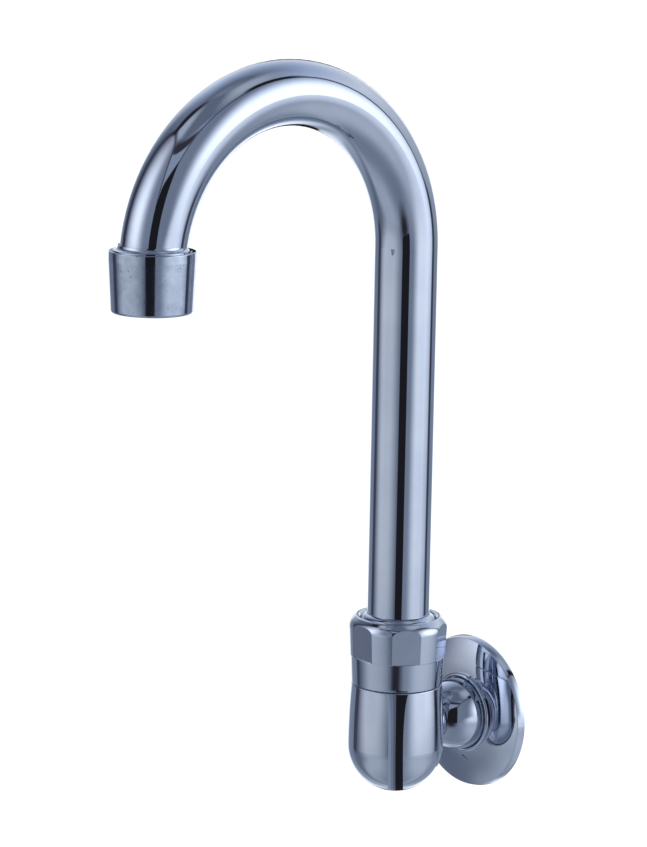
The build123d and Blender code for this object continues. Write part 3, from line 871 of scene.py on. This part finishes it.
    def tent(self) -> None:
        """Hang the lights, flags and cloths round the faucet, with plain white behind it for the camera."""
        world = bpy.data.worlds.new("light_tent")
        world.use_nodes = True
        tree = world.node_tree
        tree.nodes.clear()
        azimuth, elevation = self.directions(tree)
        seen = self.backdrop(tree, elevation)
        covers = {}
        for panel in TENT:
            cover = panel.cover(tree, azimuth, elevation)
            if panel.within:
                inside = {0: cover, 1: covers[panel.within]}
                cover = add_node(tree, "ShaderNodeMath", inside, operation="MULTIPLY").outputs[0]
            covers[panel.name] = cover
            layers = {0: cover, 6: seen, 7: panel.glow()}
            seen = add_node(tree, "ShaderNodeMix", layers, data_type="RGBA").outputs[2]
            log.info("%s hangs in the tent", panel.name)

        tent = add_node(tree, "ShaderNodeBackground", {"Color": seen}).outputs["Background"]
        paper = {"Color": linear("#FFFFFF"), "Strength": self.paper_light}
        white = add_node(tree, "ShaderNodeBackground", paper).outputs["Background"]
        camera_ray = add_node(tree, "ShaderNodeLightPath").outputs["Is Camera Ray"]
        shown = add_node(tree, "ShaderNodeMixShader", {0: camera_ray, 1: tent, 2: white}).outputs["Shader"]
        add_node(tree, "ShaderNodeOutputWorld", {"Surface": shown})
        bpy.context.scene.world = world
        bpy.context.scene.view_settings.view_transform = "Standard"

    def build(self) -> None:
        """Set up camera, floor and tent."""
        self.camera()
        self.floor()
        for ribbon in self.ribbons:
            self.ribbon(*ribbon)
        self.tent()


# ---------------------------------------------------------------- pieces


def finish_piece(
    name: str, shape: bmesh.types.BMesh, material: bpy.types.Material, body: Body, node: str
) -> None:
    """Turn a finished shape into a piece that stands for a CAD node.

    Args:
        name: The piece's name.
        shape: Its shape in place, which is freed.
        material: Its finish.
        body: The body that it rides on.
        node: The CAD node that it replaces.
    """
    mesh = bpy.data.meshes.new(name)
    shape.to_mesh(mesh)
    shape.free()
    mesh.shade_smooth()
    mesh.set_sharp_from_angle(angle=SHARP_EDGE)
    mesh.materials.append(material)
    piece = bpy.data.objects.new(name, mesh)
    bpy.context.scene.collection.objects.link(piece)
    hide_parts(node)
    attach(piece, body.value)
    log.info("%s: %d faces, wears %s", name, len(mesh.polygons), material.name)


@dataclass
class WallFlangeSet:
    """Spun wall flange with its foam ring, and the brass nipple with its cut thread. Sizes are in mm."""

    major_radius: float = 10.478  # G 1/2 thread
    root_radius: float = 9.40
    pitch: float = 1.814
    flank: float = 27.5  # degrees, half of the thread's angle
    root_flat: float = 0.25
    cutter_overrun: float = 0.15
    first: float = -12.0  # where the cutter starts and ends along the inlet axis, outside the nipple
    last: float = 14.5
    steps_per_turn: int = 48

    def thread_cutter(self) -> bpy.types.Object:
        """Sweep the thread's groove as a solid.

        Returns:
            Object of the groove, wound about the inlet axis.
        """
        shape = bmesh.new()
        outer = self.major_radius + self.cutter_overrun
        root = self.root_flat / 2
        mouth = root + (outer - self.root_radius) * math.tan(math.radians(self.flank))
        corners = ((self.root_radius, -root), (self.root_radius, root), (outer, mouth), (outer, -mouth))
        ring = [shape.verts.new((r * MM, (self.first + y) * MM, 0.0)) for r, y in corners]
        edges = [shape.edges.new((one, ring[i - 1])) for i, one in enumerate(ring)]
        turns = (self.last - self.first) / self.pitch
        steps = round(turns * self.steps_per_turn)
        bmesh.ops.spin(
            shape,
            geom=ring + edges,
            cent=(0, 0, 0),
            axis=(0, 1, 0),
            dvec=(0, (self.last - self.first) * MM / steps, 0),
            angle=math.tau * turns,
            steps=steps,
            use_merge=False,
            use_duplicate=False,
        )
        bmesh.ops.holes_fill(shape, edges=[edge for edge in shape.edges if edge.is_boundary], sides=8)
        bmesh.ops.recalc_face_normals(shape, faces=shape.faces)
        mesh = bpy.data.meshes.new("thread_cutter")
        shape.to_mesh(mesh)
        shape.free()
        cutter = bpy.data.objects.new("thread_cutter", mesh)
        bpy.context.scene.collection.objects.link(cutter)
        return cutter

    def nipple(self, brass: bpy.types.Material) -> None:
        """Cut the thread into a merged copy of the CAD nipple.

        Args:
            brass: Its finish.
        """
        shape = bmesh.new()
        shape.from_mesh(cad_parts["inlet_nipple"].data)
        bmesh.ops.remove_doubles(shape, verts=shape.verts, dist=MERGE_DISTANCE)
        bmesh.ops.dissolve_degenerate(shape, dist=MERGE_DISTANCE, edges=shape.edges)
        mesh = bpy.data.meshes.new("blank")
        shape.to_mesh(mesh)
        shape.free()
        blank = bpy.data.objects.new("blank", mesh)
        bpy.context.scene.collection.objects.link(blank)
        cutter = self.thread_cutter()
        cut = blank.modifiers.new("thread", "BOOLEAN")
        cut.object, cut.operation, cut.solver = cutter, "DIFFERENCE", "EXACT"
        cut_mesh = bpy.data.meshes.new_from_object(blank.evaluated_get(bpy.context.evaluated_depsgraph_get()))
        shape = bmesh.new()
        shape.from_mesh(cut_mesh)
        bmesh.ops.remove_doubles(shape, verts=shape.verts, dist=MERGE_DISTANCE)
        for thing in (blank, cutter):
            bpy.data.meshes.remove(thing.data)
        bpy.data.meshes.remove(cut_mesh)
        finish_piece("threaded_nipple", shape, brass, Body.ELBOW, "inlet_nipple")

    def build(self) -> None:
        """Make the nipple and dress the set."""
        self.nipple(TurnedBrass("turned_brass_nipple", Axis.INLET).material())
        spun = PlatedChrome(
            "chrome_on_spun_brass",
            Marks.TURNED,
            Axis.INLET,
            wave=Relief(8.0, 0.010, detail=1.0),
            mark_mm=0.9,
            mark_depth_mm=0.0004,
        )
        dress(spun.material(), "wall_flange")
        dress(CellFoam("closed_cell_foam").material(), "flange_gasket")


@dataclass
class ElbowBody:
    """Cast elbow with its flat inlet seal."""

    wave: Relief = Relief(12.0, 0.012, detail=1.0)

    def build(self) -> None:
        """Dress the casting and its seal."""
        cast = PlatedChrome(
            "chrome_on_cast_brass",
            Marks.BUFFED,
            wave=self.wave,
            mark_mm=1.3,
            mark_depth_mm=0.0016,
            polish=0.03,
        )
        dress(cast.material(), "body")
        dress(MouldedRubber("nitrile_flat_seal").material(), "nipple_seal")


@dataclass
class SpoutNutSet:
    """Hexagon nut with its cover ring, glide ring and washer."""

    buffed_edge: float = 0.35

    def build(self) -> None:
        """Dress the nut and what it holds."""
        nut = PlatedChrome(
            "chrome_on_machined_nut",
            Marks.TURNED,
            wave=Relief(9.0, 0.012, detail=1.0),
            mark_mm=0.8,
            mark_depth_mm=0.0004,
            worn_edge_mm=self.buffed_edge,
        )
        dress(nut.material(), "spout_nut")
        ring = PlatedChrome("chrome_on_turned_ring", Marks.TURNED, mark_depth_mm=0.0004)
        dress(ring.material(), "cover_ring")
        dress(MouldedAcetal("natural_acetal").material(), "glide_ring", "thrust_washer")


@dataclass
class Gooseneck:
    """Drawn tube with its brazed bush and ferrule and the two round seals."""

    line_pitch: float = 0.9
    line_depth: float = 0.0007

    def build(self) -> None:
        """Dress the tube and what is fixed to it."""
        tube = PlatedChrome(
            "chrome_on_drawn_tube",
            Marks.DRAWN,
            polish=0.028,
            haze=0.022,
            haze_mm=28.0,
            wave=Relief(13.0, 0.010, detail=1.0, stretch=(1.0, 1.0, 0.2)),
            mark_mm=self.line_pitch,
            mark_depth_mm=self.line_depth,
            skin=Relief(0.7, 0.0003),
        )
        dress(tube.material(), "spout_tube")
        collar = PlatedChrome(
            "chrome_on_brazed_collar", Marks.TURNED, Axis.OUTLET, polish=0.05, haze=0.04, haze_mm=5.0
        )
        dress(collar.material(), "outlet_sleeve")
        dress(TurnedBrass("turned_brass_bush", Axis.SWIVEL).material(), "spout_bush")
        dress(MouldedRubber("nitrile_ring").material(), "o_ring_upper", "o_ring_lower")


@dataclass
class Aerator:
    """Screw-on shell with its stack of insert pieces, and the woven screen. Sizes are in mm."""

    wire_radius: float = 0.10
    wire_pitch: float = 0.95
    wire_sides: int = 6
    steps_per_pitch: int = 4
    edge_gap: float = 0.05
    crown_share: float = 1.02  # height of a crown in wire radii, so that crossing wires just clear

    def wire(self, aside: float, half: float, rise: float, across: bool) -> bpy.types.Mesh:
        """Draw one wavy wire of the weave through the screen's middle plane.

        Args:
            aside: How far the wire lies from the middle.
            half: Half of its length.
            rise: Height of its crown over the middle crossing, negative where it passes under.
            across: Whether it runs along Y instead of X.

        Returns:
            The wire's mesh about the origin.
        """
        shape = bmesh.new()
        steps = max(2, round(2 * half / self.wire_pitch * self.steps_per_pitch))
        upright = Matrix.Rotation(math.pi / 2, 4, "Y")
        bmesh.ops.create_circle(
            shape, cap_ends=True, segments=self.wire_sides, radius=self.wire_radius * MM, matrix=upright
        )
        start, height = -half, rise * math.cos(math.pi * half / self.wire_pitch)
        bmesh.ops.translate(shape, vec=Vector((start, aside, height)) * MM, verts=shape.verts)
        shape.faces.ensure_lookup_table()
        end_cap = shape.faces[0]
        for step in range(1, steps + 1):
            end = half * (2 * step / steps - 1)
            to = rise * math.cos(math.pi * end / self.wire_pitch)
            # With its edges named too, a cap inside the wire goes and only the first one stays.
            grown = bmesh.ops.extrude_face_region(shape, geom=[end_cap, *end_cap.edges])["geom"]
            end_cap = next(part for part in grown if isinstance(part, bmesh.types.BMFace))
            bmesh.ops.translate(shape, vec=Vector((end - start, 0.0, to - height)) * MM, verts=end_cap.verts)
            start, height = end, to
        if across:
            quarter = Matrix.Rotation(math.pi / 2, 3, "Z")
            bmesh.ops.rotate(shape, cent=(0, 0, 0), matrix=quarter, verts=shape.verts)
        bmesh.ops.recalc_face_normals(shape, faces=shape.faces)
        mesh = bpy.data.meshes.new("wire")
        shape.to_mesh(mesh)
        shape.free()
        return mesh

    def screen(self, steel: bpy.types.Material) -> None:
        """Weave the mixing screen.

        Args:
            steel: Its finish.
        """
        low, high = (Vector(corner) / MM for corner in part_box("mixing_screen"))
        radius = (high.x - low.x) / 2 - self.edge_gap
        crown = self.wire_radius * self.crown_share
        shape = bmesh.new()
        count = int(radius / self.wire_pitch)
        for across in (False, True):
            for place in range(-count, count + 1):
                aside = place * self.wire_pitch
                half = math.sqrt(radius**2 - aside**2)
                rise = crown * (-1) ** place * (-1 if across else 1)
                wire = self.wire(aside, half, rise, across)
                shape.from_mesh(wire)
                bpy.data.meshes.remove(wire)
        bmesh.ops.translate(shape, vec=(low + high) / 2 * MM, verts=shape.verts)
        finish_piece("woven_screen", shape, steel, Body.SPOUT, "mixing_screen")

    def build(self) -> None:
        """Weave the screen and dress the shell and the insert."""
        self.screen(DrawnStainless("woven_stainless_wire").material())
        shell = PlatedChrome(
            "satin_chrome_on_cast_shell",
            Marks.TURNED,
            Axis.OUTLET,
            tint="#BFC6D4",
            shade="#A9B1C2",
            polish=0.05,
            haze=0.06,
            haze_mm=4.0,
            wave=Relief(5.0, 0.008, detail=2.0),
            mark_mm=0.5,
            mark_depth_mm=0.0006,
            skin=Relief(0.5, 0.0008),
            pit_mm=1.9,
        )
        dress(shell.material(), "aerator_shell")
        dress(MouldedRubber("nitrile_washer").material(), "aerator_gasket", "regulator_ring")
        dress(MouldedAcetal("white_acetal").material(), "inlet_screen", "regulator_plate", "jet_plate")
        grey = MouldedAcetal("grey_acetal", milk="#C9CDCE", flow="#BEC3C6")
        dress(grey.material(), "aerator_housing", "outlet_grid")


def main() -> None:
    """Build the sub-assemblies and the studio."""
    logging.basicConfig(level=logging.INFO)
    for part in (WallFlangeSet(), ElbowBody(), SpoutNutSet(), Gooseneck(), Aerator(), Studio()):
        log.info("building %s", type(part).__name__)
        part.build()


if __name__ == "__main__":
    main()
